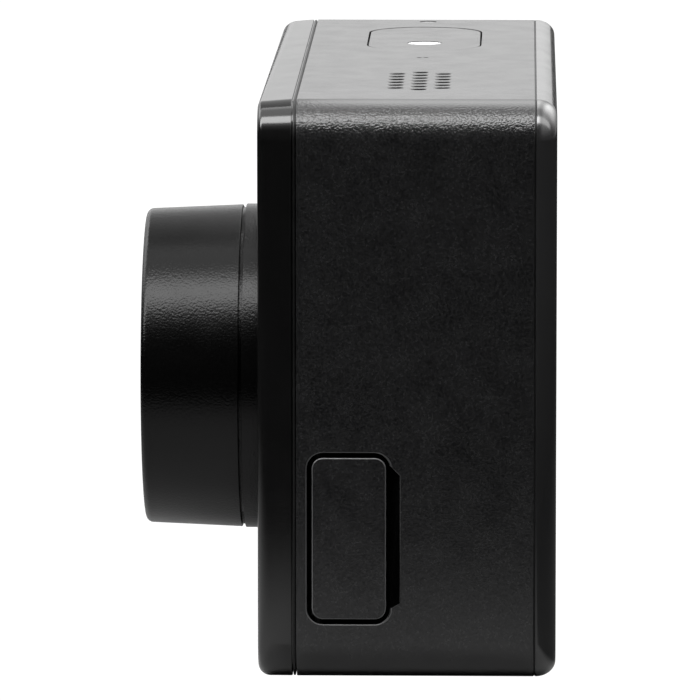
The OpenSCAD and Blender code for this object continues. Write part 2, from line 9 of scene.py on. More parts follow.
import bmesh
import bpy
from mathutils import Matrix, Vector

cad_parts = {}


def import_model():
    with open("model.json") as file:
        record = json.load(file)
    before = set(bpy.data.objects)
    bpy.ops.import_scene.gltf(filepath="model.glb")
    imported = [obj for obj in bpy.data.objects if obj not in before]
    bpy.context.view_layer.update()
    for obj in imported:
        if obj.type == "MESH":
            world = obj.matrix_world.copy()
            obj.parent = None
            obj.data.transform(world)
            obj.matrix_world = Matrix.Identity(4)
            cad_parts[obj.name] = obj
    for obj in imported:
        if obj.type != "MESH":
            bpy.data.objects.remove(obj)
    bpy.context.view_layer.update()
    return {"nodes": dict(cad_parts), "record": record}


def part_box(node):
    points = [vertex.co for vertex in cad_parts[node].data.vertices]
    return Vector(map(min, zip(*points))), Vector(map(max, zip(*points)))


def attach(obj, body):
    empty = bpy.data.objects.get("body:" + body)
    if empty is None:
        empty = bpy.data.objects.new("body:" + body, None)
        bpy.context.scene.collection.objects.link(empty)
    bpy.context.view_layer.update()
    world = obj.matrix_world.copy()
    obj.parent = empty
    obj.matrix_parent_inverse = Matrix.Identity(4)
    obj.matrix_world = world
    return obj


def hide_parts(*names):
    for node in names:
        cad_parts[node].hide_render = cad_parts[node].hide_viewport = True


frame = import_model()
nodes = frame["nodes"]
MM = 0.001


def box(node):
    """Lowest and highest corner of a CAD node in millimetres."""
    low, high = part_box(node)
    return low / MM, high / MM


def middle(node):
    low, high = box(node)
    return (low + high) / 2


# ---------------------------------------------------------------- places taken from the frame
frame_low, frame_high = box("mid_frame")
SIDE_X = frame_high.x
TOP_Z = frame_high.z
MID_Z = TOP_Z / 2
FRONT_Y = box("front_cover")[0].y
REAR_Y = box("rear_bezel")[1].y
BEZEL_Y = box("rear_bezel")[0].y
SEAM_Y0 = box("seam_gasket")[0].y
SEAM_Y1 = frame_low.y
FRAME_REAR = box("rear_gasket")[0].y
barrel_low, barrel_high = box("lens_barrel")
LENS = middle("lens_barrel")
glass_low, glass_high = box("lens_cover_glass")

CORNER_R = 2.8          # corners of the case, seen from the front
WALL = 1.5              # thickness of the case
BORE_R = 10.55          # bore of the lens barrel, behind its front lip
LIP_R = 9.4             # opening of the front lip
NECK_R = 10.45          # neck of the base ring that the barrel sits on
THROAT_R = 9.3          # bore of the base ring
GROOVE_R = 11.0         # bottom of the dark groove behind the barrel
CELL_R = 10.1           # hole of the lens in the front cover
PORT_GAP = 0.36         # gap round the port door
DOOR_CORNER_R = 0.8
HAIR = 0.02             # smallest step, such as between two surfaces that nearly meet
CORNER_STEPS = 14
TURN_STEPS = 160


# ---------------------------------------------------------------- mesh helpers
def new_object(name, mesh):
    obj = bpy.data.objects.new(name, mesh)
    bpy.context.scene.collection.objects.link(obj)
    return obj


def mesh_object(name, verts, faces):
    """A mesh object from points in millimetres, with its faces turned outwards."""
    mesh = bpy.data.meshes.new(name)
    mesh.from_pydata([Vector(v) * MM for v in verts], [], faces)
    obj = new_object(name, mesh)
    edit(obj, lambda bm: bmesh.ops.recalc_face_normals(bm, faces=bm.faces))
    return obj


def edit(obj, change):
    """Runs a change on the object's mesh through bmesh."""
    bm = bmesh.new()
    bm.from_mesh(obj.data)
    change(bm)
    bm.to_mesh(obj.data)
    bm.free()


def weld(obj):
    """Merges points that meet, such as those on a lathe's axis, and drops collapsed faces."""
    distance = 0.0005 * MM

    def change(bm):
        bmesh.ops.remove_doubles(bm, verts=bm.verts, dist=distance)
        bmesh.ops.dissolve_degenerate(bm, edges=bm.edges, dist=distance)
        bmesh.ops.recalc_face_normals(bm, faces=bm.faces)
    edit(obj, change)


def outline(width, height, radius, steps=CORNER_STEPS):
    """Rounded rectangle round the origin, as a list of 2D points."""
    points = []
    for sx, sy, start in ((1, 1, 0), (-1, 1, 90), (-1, -1, 180), (1, -1, 270)):
        cx = sx * (width / 2 - radius)
        cy = sy * (height / 2 - radius)
        points += arc(cx, cy, radius, radius, start, start + 90, steps)
    return points


def unit(value):
    """The value, kept between 0 and 1."""
    return min(max(value, 0), 1)


def arc(cx, cy, rx, ry, start, end, steps):
    """Points along an ellipse arc, angles in degrees."""
    angles = [math.radians(start + (end - start) * i / steps) for i in range(steps + 1)]
    return [(cx + rx * math.cos(a), cy + ry * math.sin(a)) for a in angles]


def case_ring(y, inset):
    """Outline of the case at one depth, drawn in by an inset."""
    tightest = 0.45
    radius = max(CORNER_R - inset, tightest)
    points = outline(2 * (SIDE_X - inset), TOP_Z - 2 * inset, radius)
    return [Vector((x, y, MID_Z + z)) for x, z in points]


def groove_floor(y):
    """Bottom of the seam's fine grooves: deep at the sides, shallow across the top."""
    deep, shallow = case_ring(y, 0.4), case_ring(y, 0.09)
    return [p.lerp(q, unit((p.z - TOP_Z + CORNER_R) / CORNER_R)) for p, q in zip(deep, shallow)]


def loft(name, rings, closed=False):
    """Skin over rings that hold the same number of points. Open lofts get flat end caps."""
    count = len(rings[0])
    verts = [p for ring in rings for p in ring]
    faces = []
    for r in range(len(rings) if closed else len(rings) - 1):
        a = r * count
        b = (r + 1) % len(rings) * count
        for i in range(count):
            j = (i + 1) % count
            faces.append((a + i, a + j, b + j, b + i))
    if not closed:
        faces.append(tuple(range(count)))
        faces.append(tuple(range((len(rings) - 1) * count, len(rings) * count)))
    return mesh_object(name, verts, faces)


def turn(name, section, centre=LENS, axis="Y", steps=TURN_STEPS, closed=True):
    """Solid of a section of (radius, height) points, turned round an axis through centre.

    A radius may be a function of the angle. An open section starts and ends on the axis.
    """
    rings = []
    for i in range(steps):
        a = 2 * math.pi * i / steps
        ring = []
        for radius, height in section:
            r = radius(a) if callable(radius) else radius
            u, v = r * math.cos(a), r * math.sin(a)
            if axis == "Y":
                ring.append((centre[0] + u, height, centre[2] + v))
            else:
                ring.append((centre[0] + u, centre[1] + v, height))
        rings.append(ring)
    count = len(section)
    verts = [p for ring in rings for p in ring]
    faces = []
    for s in range(steps):
        a = s * count
        b = (s + 1) % steps * count
        for i in range(count if closed else count - 1):
            j = (i + 1) % count
            faces.append((a + i, a + j, b + j, b + i))
    obj = mesh_object(name, verts, faces)
    if not closed:
        weld(obj)
    return obj


def rod(name, centre, axis, radius, length, steps=64):
    """Plain round rod that starts at centre and runs along axis."""
    axis = Vector(axis)
    side = axis.orthogonal().normalized()
    other = axis.cross(side)
    rings = []
    for t in (0, length):
        points = arc(0, 0, radius, radius, 0, 360, steps)[:-1]
        rings.append([Vector(centre) + axis * t + side * u + other * v for u, v in points])
    return loft(name, rings)


def apply_modifiers(obj):
    """Gives the object the mesh that its modifiers make of it."""
    graph = bpy.context.evaluated_depsgraph_get()
    result = bpy.data.meshes.new_from_object(obj.evaluated_get(graph))
    obj.modifiers.clear()
    obj.data = result


def combine(obj, tool, operation="DIFFERENCE"):
    """Boolean of two solids, applied at once. The tool is removed."""
    modifier = obj.modifiers.new("boolean", "BOOLEAN")
    modifier.operation = operation
    modifier.solver = "EXACT"
    modifier.object = tool
    apply_modifiers(obj)
    bpy.data.objects.remove(tool)


def join(name, parts):
    """One object from several that don't touch. The parts are removed."""
    bm = bmesh.new()
    for part in parts:
        bm.from_mesh(part.data)
        bpy.data.objects.remove(part)
    mesh = bpy.data.meshes.new(name)
    bm.to_mesh(mesh)
    bm.free()
    return new_object(name, mesh)


def shade(obj, angle=32):
    """Smooth shading with the hard edges kept."""
    mesh = obj.data
    mesh.polygons.foreach_set("use_smooth", [True] * len(mesh.polygons))
    mesh.set_sharp_from_angle(angle=math.radians(angle))
    normals = obj.modifiers.new("normals", "WEIGHTED_NORMAL")
    normals.keep_sharp = True
    normals.weight = 60


def soften(obj, width_at):
    """Rounds the edges of a solid; width_at gives each edge's rounding from its middle."""
    widest = 0.2
    flat, steep = math.radians(0.3), math.radians(35)
    skin = 0.02
    per_metre = (1000, 1000, 1000)

    def weigh(bm):
        """Merges flat faces and marks each steep edge with its share of the widest rounding."""
        bmesh.ops.dissolve_limit(bm, angle_limit=flat, verts=bm.verts, edges=bm.edges)
        weight = bm.edges.layers.float.new("bevel_weight_edge")
        for edge in bm.edges:
            if len(edge.link_faces) == 2 and edge.calc_face_angle(0) > steep:
                a, b = (v.co / MM for v in edge.verts)
                edge[weight] = width_at((a + b) / 2) / widest

    def facet(bm):
        """Splits the inner many-sided faces at a size where rounding errors do no harm."""
        bmesh.ops.scale(bm, vec=per_metre, verts=bm.verts)
        inner = []
        for face in bm.faces:
            c = face.calc_center_median()
            below_skin = abs(c.x) < SIDE_X - skin and skin < c.z < TOP_Z - skin
            if len(face.verts) > 4 and below_skin:
                inner.append(face)
        bmesh.ops.triangulate(bm, faces=inner)
        bmesh.ops.scale(bm, vec=(MM, MM, MM), verts=bm.verts)

    edit(obj, weigh)
    bevel = obj.modifiers.new("edges", "BEVEL")
    bevel.limit_method = "WEIGHT"
    bevel.width = widest * MM
    bevel.segments = 3
    bevel.use_clamp_overlap = False
    bevel.miter_outer = "MITER_ARC"
    apply_modifiers(obj)
    edit(obj, facet)


def copy_of(node, name):
    """A new piece that starts as the CAD node's own solid."""
    obj = new_object(name, nodes[node].data.copy())
    weld(obj)
    return obj


def place(obj, mat, node, body="camera"):
    """Gives a finished piece its material and its body, and hides the CAD node that it stands for.
    """
    obj.data.materials.clear()
    obj.data.materials.append(MATERIALS[mat])
    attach(obj, body)
    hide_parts(node)


# ---------------------------------------------------------------- material helpers
def shader(name, color, roughness, **sockets):
    """A Principled material; each keyword sets the socket of that name."""
    mat = bpy.data.materials.new(name)
    mat.use_nodes = True
    node = mat.node_tree.nodes["Principled BSDF"]
    node.inputs["Base Color"].default_value = (*color, 1)
    node.inputs["Roughness"].default_value = roughness
    for key, value in sockets.items():
        node.inputs[key.replace("_", " ")].default_value = value
    return mat, mat.node_tree, node


def position(tree, stretch=None):
    """The piece's own coordinates, stretched if asked."""
    coords = tree.nodes.new("ShaderNodeTexCoord").outputs["Object"]
    if stretch is None:
        return coords
    mapping = tree.nodes.new("ShaderNodeMapping")
    mapping.inputs["Scale"].default_value = stretch
    tree.links.new(coords, mapping.inputs["Vector"])
    return mapping.outputs["Vector"]


def axes(tree):
    """X, Y and Z of the piece's own coordinates, in metres."""
    split = tree.nodes.new("ShaderNodeSeparateXYZ")
    tree.links.new(position(tree), split.inputs["Vector"])
    return [split.outputs[axis] for axis in "XYZ"]


def noise(tree, scale_mm, detail=2.0, stretch=None):
    """Noise whose blobs are about scale_mm across."""
    tex = tree.nodes.new("ShaderNodeTexNoise")
    tex.inputs["Scale"].default_value = 1 / (scale_mm * MM)
    tex.inputs["Detail"].default_value = detail
    tree.links.new(position(tree, stretch), tex.inputs["Vector"])
    return tex.outputs["Fac"]


def cells(tree, scale_mm, feature="F1"):
    """Distance pattern of scattered cells about scale_mm across."""
    tex = tree.nodes.new("ShaderNodeTexVoronoi")
    tex.feature = feature
    tex.inputs["Scale"].default_value = 1 / (scale_mm * MM)
    tree.links.new(position(tree), tex.inputs["Vector"])
    return tex.outputs["Distance"]


def spread(tree, value, low, high, start=0.3, end=0.7, ease="LINEAR"):
    """Maps a value between start and end to a range."""
    node = tree.nodes.new("ShaderNodeMapRange")
    node.interpolation_type = ease
    node.inputs["From Min"].default_value = start
    node.inputs["From Max"].default_value = end
    node.inputs["To Min"].default_value = low
    node.inputs["To Max"].default_value = high
    tree.links.new(value, node.inputs["Value"])
    return node.outputs["Result"]


def math_node(tree, operation, *values):
    node = tree.nodes.new("ShaderNodeMath")
    node.operation = operation
    for socket, value in zip(node.inputs, values):
        if isinstance(value, (int, float)):
            socket.default_value = value
        else:
            tree.links.new(value, socket)
    return node.outputs["Value"]


def tint(tree, value, dark, light):
    """Colour between two tones; a tone may be a link."""
    node = tree.nodes.new("ShaderNodeMix")
    node.data_type = "RGBA"
    for key, tone in (("A", dark), ("B", light)):
        if isinstance(tone, tuple):
            node.inputs[key].default_value = (*tone, 1)
        else:
            tree.links.new(tone, node.inputs[key])
    tree.links.new(value, node.inputs["Factor"])
    return node.outputs["Result"]


def bump(tree, bsdf, height, depth_mm):
    """Adds a bump of a real depth to the shader's normal."""
    node = tree.nodes.new("ShaderNodeBump")
    node.inputs["Distance"].default_value = depth_mm * MM
    tree.links.new(height, node.inputs["Height"])
    tree.links.new(node.outputs["Normal"], bsdf.inputs["Normal"])


def colour(tree, bsdf, value, dark, light):
    """Colours the surface by a value, between two tones."""
    tree.links.new(tint(tree, value, dark, light), bsdf.inputs["Base Color"])


def plastic(name, dark, light, roughness, grain_mm, grain_depth, **sockets):
    """Moulded plastic or paint: fine grain in tone and height, faint patches of gloss."""
    patch_mm = 2.5
    mat, tree, bsdf = shader(name, dark, roughness, **sockets)
    patches = noise(tree, patch_mm, 3)
    grain = noise(tree, grain_mm, 1.5)
    tone = math_node(tree, "ADD", math_node(tree, "MULTIPLY", grain, 0.75),
                     math_node(tree, "MULTIPLY", patches, 0.25))
    colour(tree, bsdf, spread(tree, tone, 0, 1), dark, light)
    mottled = spread(tree, patches, roughness - 0.02, roughness + 0.03)
    tree.links.new(mottled, bsdf.inputs["Roughness"])
    bump(tree, bsdf, grain, grain_depth)
    return mat


def metal(name, dark, light, roughness):
    """Metal with fine lines that run round it."""
    stretch = (1, 1, 12)
    mat, tree, bsdf = shader(name, light, roughness, Metallic=1.0)
    lines = noise(tree, 0.5, 4, stretch)
    colour(tree, bsdf, spread(tree, lines, 0, 1), dark, light)
    tree.links.new(spread(tree, lines, roughness - 0.06, roughness + 0.1), bsdf.inputs["Roughness"])
    bump(tree, bsdf, lines, 0.004)
    return mat


def optic(name, dark, light, tone, **sockets):
    """Coated glass: a tinted reflection and faint patches of tone."""
    mat, tree, bsdf = shader(name, dark, 0.02, **sockets)
    bsdf.inputs["Specular Tint"].default_value = (*tone, 1)
    patches = noise(tree, 4, 1)
    colour(tree, bsdf, spread(tree, patches, 0, 1), dark, light)
    tree.links.new(spread(tree, patches, 0.015, 0.04), bsdf.inputs["Roughness"])
    return mat


# ---------------------------------------------------------------- materials
def plastics():
    """The moulded and painted surfaces: tones, gloss, grain size and grain depth (mm)."""
    rows = {
        "frame_plastic": ((0.003, 0.003, 0.0031), (0.0155, 0.0155, 0.0158), 0.17, 0.15, 0.048),
        "cover_plastic": ((0.0025, 0.0025, 0.0025), (0.0045, 0.0045, 0.0045), 0.11, 0.12, 0.0016),
        "bezel_plastic": ((0.0138, 0.0138, 0.014), (0.0156, 0.0156, 0.0158), 0.15, 0.1, 0.0005),
        "barrel_paint": ((0.0006, 0.0006, 0.0006), (0.0016, 0.0016, 0.0016), 0.19, 0.15, 0.021),
        "inner_black": ((0.0012, 0.0012, 0.0013), (0.004, 0.004, 0.004), 0.5, 0.2, 0.01),
        "seal_rubber": ((0.0015, 0.0015, 0.0015), (0.004, 0.004, 0.004), 0.4, 0.25, 0.01),
        "latch_plastic": ((0.01, 0.01, 0.0105), (0.018, 0.018, 0.0185), 0.35, 0.16, 0.012),
        "card_plastic": ((0.006, 0.006, 0.006), (0.012, 0.012, 0.012), 0.4, 0.15, 0.006),
        "battery_wrap": ((0.035, 0.037, 0.042), (0.05, 0.052, 0.058), 0.36, 0.4, 0.01),
        "light_white": ((0.84, 0.85, 0.86), (0.9, 0.9, 0.9), 0.3, 0.3, 0.004),
        "light_dark": ((0.003, 0.003, 0.003), (0.006, 0.005, 0.005), 0.12, 0.3, 0.002),
        "screen_panel": ((0.008, 0.009, 0.012), (0.012, 0.013, 0.016), 0.15, 0.2, 0.001),
    }
    gloss = {
        "bezel_plastic": {"Specular_IOR_Level": 0.62, "Coat_Weight": 0.4},
        "barrel_paint": {"Specular_IOR_Level": 0.16},
        "seal_rubber": {"Specular_IOR_Level": 0.3},
        "light_dark": {"Coat_Weight": 0.5},
    }
    return {name: plastic(name, *row, **gloss.get(name, {})) for name, row in rows.items()}


def circuit_board():
    """Green solder mask with fine tracks and small pads."""
    mat, tree, bsdf = shader("circuit_board", (0.01, 0.09, 0.04), 0.35)
    tracks = cells(tree, 1.6, "DISTANCE_TO_EDGE")
    pads = cells(tree, 1.1)
    green = tint(tree, spread(tree, tracks, 0, 1, 0.03, 0.08), (0.02, 0.16, 0.07),
                 (0.006, 0.06, 0.028))
    colour(tree, bsdf, spread(tree, pads, 1, 0, 0.1, 0.13), green, (0.6, 0.42, 0.16))
    tree.links.new(spread(tree, pads, 0.2, 0.4, 0.1, 0.13), bsdf.inputs["Roughness"])
    bump(tree, bsdf, tracks, 0.03)
    return mat


def flex_cable():
    """Amber film with copper lines along it."""
    mat, tree, bsdf = shader("flex_cable", (0.4, 0.17, 0.03), 0.25, Coat_Weight=0.4)
    wave = tree.nodes.new("ShaderNodeTexWave")
    wave.inputs["Scale"].default_value = 0.35 / MM
    tree.links.new(position(tree), wave.inputs["Vector"])
    lines = wave.outputs["Fac"]
    colour(tree, bsdf, spread(tree, lines, 0, 1, 0.45, 0.6), (0.34, 0.13, 0.02),
           (0.55, 0.27, 0.07))
    tree.links.new(spread(tree, lines, 0.32, 0.22), bsdf.inputs["Roughness"])
    bump(tree, bsdf, lines, 0.02)
    return mat


def sensor_face():
    """Dark chip with a faint grid of violet and green tiles, painted in for the shimmer of its
    reflection.
    """
    mat, tree, bsdf = shader("sensor_face", (0.02, 0.01, 0.03), 0.08, Coat_Weight=1.0)
    brick = tree.nodes.new("ShaderNodeTexBrick")
    brick.inputs["Scale"].default_value = 1.6 / MM
    # Painted sheen: the violet and green tile tones stand in for the chip's shimmer.
    brick.inputs["Color1"].default_value = (0.03, 0.012, 0.05, 1)
    brick.inputs["Color2"].default_value = (0.012, 0.035, 0.03, 1)
    brick.inputs["Mortar"].default_value = (0.004, 0.004, 0.006, 1)
    tree.links.new(position(tree), brick.inputs["Vector"])
    tree.links.new(brick.outputs["Color"], bsdf.inputs["Base Color"])
    tree.links.new(spread(tree, noise(tree, 1.5), 0.05, 0.12), bsdf.inputs["Roughness"])
    return mat


def screen_glass_material():
    """Touch glass: black printed border round a display that is off."""
    mat, tree, bsdf = shader("screen_glass", (0.002, 0.002, 0.0022), 0.035, Coat_Weight=0.6)
    bsdf.inputs["Coat Roughness"].default_value = 0.02
    x, _, z = axes(tree)
    low, high = box("lcd_panel")
    half = (high - low) / 2
    overlap, blur = 1, 0.04
    side = math_node(tree, "ABSOLUTE", x)
    rise = math_node(tree, "ABSOLUTE", math_node(tree, "SUBTRACT", z, middle("lcd_panel").z * MM))
    margin = math_node(tree, "MAXIMUM",
                       math_node(tree, "SUBTRACT", side, (half.x - overlap) * MM),
                       math_node(tree, "SUBTRACT", rise, (half.z - overlap) * MM))
    border = spread(tree, margin, 0, 1, -blur * MM, blur * MM)
    display = tint(tree, spread(tree, noise(tree, 9, 1), 0, 1), (0.0058, 0.0066, 0.0085),
                   (0.0085, 0.0092, 0.0112))
    colour(tree, bsdf, border, display, (0.0016, 0.0016, 0.0017))
    tree.links.new(spread(tree, noise(tree, 6, 2), 0.025, 0.05), bsdf.inputs["Roughness"])
    return mat


def overlay(mat, mask, key, top):
    """Lays a tone, or a number, over what feeds a socket of the shader, by a mask."""
    tree = mat.node_tree
    socket = tree.nodes["Principled BSDF"].inputs[key]
    source = socket.links[0].from_socket
    if isinstance(top, tuple):
        tree.links.new(tint(tree, mask, source, top), socket)
        return
    node = tree.nodes.new("ShaderNodeMix")
    node.inputs["B"].default_value = top
    tree.links.new(mask, node.inputs["Factor"])
    tree.links.new(source, node.inputs["A"])
    tree.links.new(node.outputs["Result"], socket)


def step(tree, value, start_mm, end_mm, low=0, high=1):
    """Rises, or falls, between two places in millimetres."""
    return spread(tree, value, low, high, start_mm * MM, end_mm * MM)


def paint_foot_shade(mat):
    """Painted shade: a darker tone towards the bottom, where the table would light the surface
    most.
    """
    tree = mat.node_tree
    z = axes(tree)[2]
    # Painted shade: darker base colour low on the bezel.
    overlay(mat, step(tree, z, 4, 30, 1, 0), "Base Color", (0.0065, 0.0065, 0.0066))


def smooth_faces(mat):
    """Keeps the deep grain to the rounded upper edges; the flat sides are nearly smooth."""
    tree = mat.node_tree
    x, _, z = axes(tree)
    reach = 1.1 * CORNER_R
    height = step(tree, z, TOP_Z - reach, TOP_Z - 0.7 * reach)
    side = step(tree, math_node(tree, "ABSOLUTE", x), SIDE_X - 0.6 * reach, SIDE_X - 0.3 * reach)
    amount = spread(tree, math_node(tree, "MULTIPLY", height, side), 0.12, 1, 0, 1)
    relief = next(node for node in tree.nodes if node.bl_idname == "ShaderNodeBump")
    tree.links.new(amount, relief.inputs["Strength"])


def paint_door_highlights(mat):
    """Painted highlights: thin, lighter lines along the edge of the port door and the rim round it,
    where their rounded edges would catch the light.
    """
    tree = mat.node_tree
    x, y, z = axes(tree)
    low, high = box("usb_door")
    line_half = 0.05

    def past(value, start, end):
        """How far a point lies beyond the straight part of the outline, along one axis."""
        away = math_node(tree, "SUBTRACT", value, (start + end) / 2 * MM)
        half = (end - start) / 2 - DOOR_CORNER_R
        return math_node(tree, "SUBTRACT", math_node(tree, "ABSOLUTE", away), half * MM)

    across, along = past(y, low.y, high.y), past(z, low.z, high.z)
    corner = [math_node(tree, "POWER", math_node(tree, "MAXIMUM", v, 0), 2)
              for v in (across, along)]
    outer = math_node(tree, "SQRT", math_node(tree, "ADD", *corner))
    inner = math_node(tree, "MINIMUM", math_node(tree, "MAXIMUM", across, along), 0)
    distance = math_node(tree, "SUBTRACT", math_node(tree, "ADD", outer, inner),
                         DOOR_CORNER_R * MM)
    skin = step(tree, x, SIDE_X - 0.12, SIDE_X - 0.06)

    def line(middle_mm, strength):
        away = math_node(tree, "SUBTRACT", distance, middle_mm * MM)
        gap = math_node(tree, "ABSOLUTE", away)
        drawn = step(tree, gap, 0.5 * line_half, line_half, strength, 0)
        return math_node(tree, "MULTIPLY", drawn, skin)

    # Painted highlight lines: a lighter base tone on the door's edge and on the rim.
    mask = math_node(tree, "ADD", line(-0.045, 1), line(PORT_GAP + 0.04, 0.6))
    overlay(mat, mask, "Base Color", (0.055, 0.055, 0.056))


def paint_recess_shade(mat):
    """Painted shade: nearly black walls deep in the recess of the port door, where little light
    gets in.
    """
    tree = mat.node_tree
    x, y, z = axes(tree)
    low, high = box("usb_door")
    mask = step(tree, x, SIDE_X - 0.2, SIDE_X - 0.1, 1, 0)
    for part in (step(tree, z, high.z + 0.5, high.z + 0.6, 1, 0),
                 step(tree, z, low.z - 0.6, low.z - 0.5),
                 step(tree, y, low.y - 0.5, low.y - 0.42),
                 step(tree, y, high.y + 1.1, high.y + 1.2, 1, 0),
                 step(tree, x, SIDE_X - 6, SIDE_X - 5)):
        mask = math_node(tree, "MULTIPLY", mask, part)
    # Painted shade: near-black base tone in the recess; the roughness change below is real.
    overlay(mat, mask, "Base Color", (0.0002, 0.0002, 0.0002))
    overlay(mat, mask, "Roughness", 0.25)


def make_materials():
    """One material for each slot of the record."""
    mats = plastics()
    paint_foot_shade(mats["bezel_plastic"])
    smooth_faces(mats["frame_plastic"])
    paint_door_highlights(mats["frame_plastic"])
    paint_recess_shade(mats["frame_plastic"])
    for name, dark, light, roughness in (
            ("screw_steel", (0.3, 0.3, 0.31), (0.5, 0.5, 0.51), 0.3),
            ("pin_steel", (0.003, 0.003, 0.003), (0.01, 0.01, 0.01), 0.45),
            ("shield_steel", (0.48, 0.48, 0.48), (0.62, 0.62, 0.62), 0.28),
            ("spreader_metal", (0.6, 0.61, 0.62), (0.74, 0.75, 0.76), 0.34),
            ("contact_gold", (0.7, 0.47, 0.16), (0.9, 0.66, 0.28), 0.2)):
        mats[name] = metal(name, dark, light, roughness)
    mats["cover_glass"] = optic("cover_glass", (0.93, 0.96, 1), (0.97, 0.98, 1), (0.75, 0.85, 1),
                                Transmission_Weight=1.0, IOR=1.5)
    mats["lens_glass"] = optic("lens_glass", (0.004, 0.004, 0.009), (0.007, 0.006, 0.014),
                               (0.62, 0.42, 1), Coat_Weight=0.5, IOR=1.7)
    mats["filter_glass"] = optic("filter_glass", (0.02, 0.09, 0.1), (0.03, 0.12, 0.13), (0.6, 1, 1))
    mats["screen_glass"] = screen_glass_material()
    mats["sensor_face"] = sensor_face()
    mats["circuit_board"] = circuit_board()
    mats["flex_cable"] = flex_cable()
    return mats


MATERIALS = make_materials()


# ---------------------------------------------------------------- case
def front_cover():
    """Cup with a light draft, a rounded front edge and the hole of the lens."""
    # Rounding depth, rounding width and draft of the far, the upper near and the bottom edge.
    soft, crisp, foot = (1.15, 1.05, 0.2), (0.3, 0.32, 0.2), (0.9, 0.82, 0.02)
    steps = 12

    def crispness(p):
        """The edge is tightest at the upper corner on the port side."""
        rise = unit((p.z - 0.6 * TOP_Z) / (0.4 * TOP_Z))
        side = unit((p.x + SIDE_X) / (1.9 * SIDE_X))
        return rise * rise * side

    def lowness(p):
        return unit(1 - p.z / (0.35 * TOP_Z))

    def edge_ring(t):
        """Outline at one place on the rounded front edge: 0 on the face, 1 on the side."""
        a = math.radians(90 * t)
        rings = []
        for ry, rin, draft in (soft, crisp, foot):
            y = FRONT_Y + ry * (1 - math.cos(a))
            fall = draft * (SEAM_Y0 - y) / (SEAM_Y0 - FRONT_Y)
            rings.append(case_ring(y, fall + rin * (1 - math.sin(a))))
        return [p.lerp(q, crispness(p)).lerp(r, lowness(p)) for p, q, r in zip(*rings)]

    back = SEAM_Y0 - 0.1
    wall_y = FRONT_Y + 1.3
    joint = SEAM_Y0 - HAIR
    rings = [case_ring(wall_y, WALL), case_ring(joint, WALL), groove_floor(joint)]
    rings += [groove_floor(back), case_ring(back, 0.07)]
    rings += [case_ring(back - HAIR, 0.03), case_ring(back - 0.07, 0.005)]
    rings += [edge_ring(1 - i / steps) for i in range(steps + 1)]
    obj = loft("front_cover_shell", rings)
    light = middle("front_light")
    for hole, hole_r, sides in ((LENS, CELL_R, 128), (light, 1.23, 64)):
        combine(obj, rod("cut", (hole.x, FRONT_Y - 1, hole.z), (0, 1, 0), hole_r, 3, sides))
    shade(obj)
    place(obj, "cover_plastic", "front_cover")


def seam_gasket():
    """Thin lip between two fine grooves."""
    y0 = SEAM_Y0 - HAIR
    y1 = SEAM_Y1 - 0.09
    lip = [(y0, WALL), (y0, 0.05), (y0 + HAIR, 0.03), (y1 - HAIR, 0.03), (y1, 0.05)]
    rings = [case_ring(y, inset) for y, inset in lip]
    rings += [groove_floor(y1), groove_floor(SEAM_Y1), case_ring(SEAM_Y1, WALL)]
    obj = loft("seam_lip", rings, closed=True)
    shade(obj)
    place(obj, "seal_rubber", "seam_gasket")


def rear_gasket():
    """Thin seal that nearly fills the joint between frame and bezel."""
    y0, y1 = FRAME_REAR, BEZEL_Y
    seal = [(y0, WALL), (y0, 0.06), (y0 + HAIR, 0.04)]
    seal += [(y1 - HAIR, 0.04), (y1, 0.06), (y1, WALL)]
    obj = loft("rear_seal", [case_ring(y, inset) for y, inset in seal], closed=True)
    shade(obj)
    place(obj, "seal_rubber", "rear_gasket")


def grille_cutters():
    """Holes of the speaker grille, each with a soft flared lip."""
    centre = middle("speaker_mesh")
    pitch, row_pitch = 2, 1.7
    hole_r, flare_r, flare_depth = 0.55, 0.83, 0.05
    counts = (6, 7, 6)
    bottom, top = TOP_Z - 3, TOP_Z + 1
    section = [(0, bottom), (hole_r, bottom)]
    section += arc(flare_r, TOP_Z - flare_depth, flare_r - hole_r, flare_depth, 180, 90, 5)
    section += [(flare_r, top), (0, top)]
    holes = []
    for row, count in enumerate(counts):
        y = centre.y + (row - 1) * row_pitch
        for i in range(count):
            x = centre.x + (i - (count - 1) / 2) * pitch
            holes.append(turn("hole", section, (x, y, 0), "Z", 40, closed=False))
    return join("grille_cut", holes)


def mid_frame():
    """The CAD frame with every visible edge softened by what it is."""
    obj = copy_of("mid_frame", "mid_frame_shell")
    combine(obj, grille_cutters())
    door_low, door_high = box("usb_door")
    button_low, button_high = box("shutter_button")
    button = (button_low + button_high) / 2
    reach = (button_high - button_low) / 2 + Vector((0.5, 0.5, 0))
    near = 0.01
    at_port, at_rim, at_button, at_foot = 0.07, 0.035, 0.025, 0.1

    def width_at(p):
        in_port = door_low.y - 1 < p.y < door_high.y + 1.2 and p.z < door_high.z + 1
        if p.x > SIDE_X - near and in_port:
            return at_port
        if min(abs(p.y - SEAM_Y1), abs(p.y - FRAME_REAR)) < near:
            on_skin = max(abs(p.x) - SIDE_X, abs(p.z - MID_Z) - MID_Z) > -CORNER_R * 0.5
            return at_rim if on_skin else 0
        if p.z > TOP_Z - near:
            round_button = all(abs(p[i] - button[i]) < reach[i] for i in (0, 1))
            return at_button if round_button else 0
        return at_foot if p.z < near else 0

    soften(obj, width_at)
    shade(obj)
    place(obj, "frame_plastic", "mid_frame")


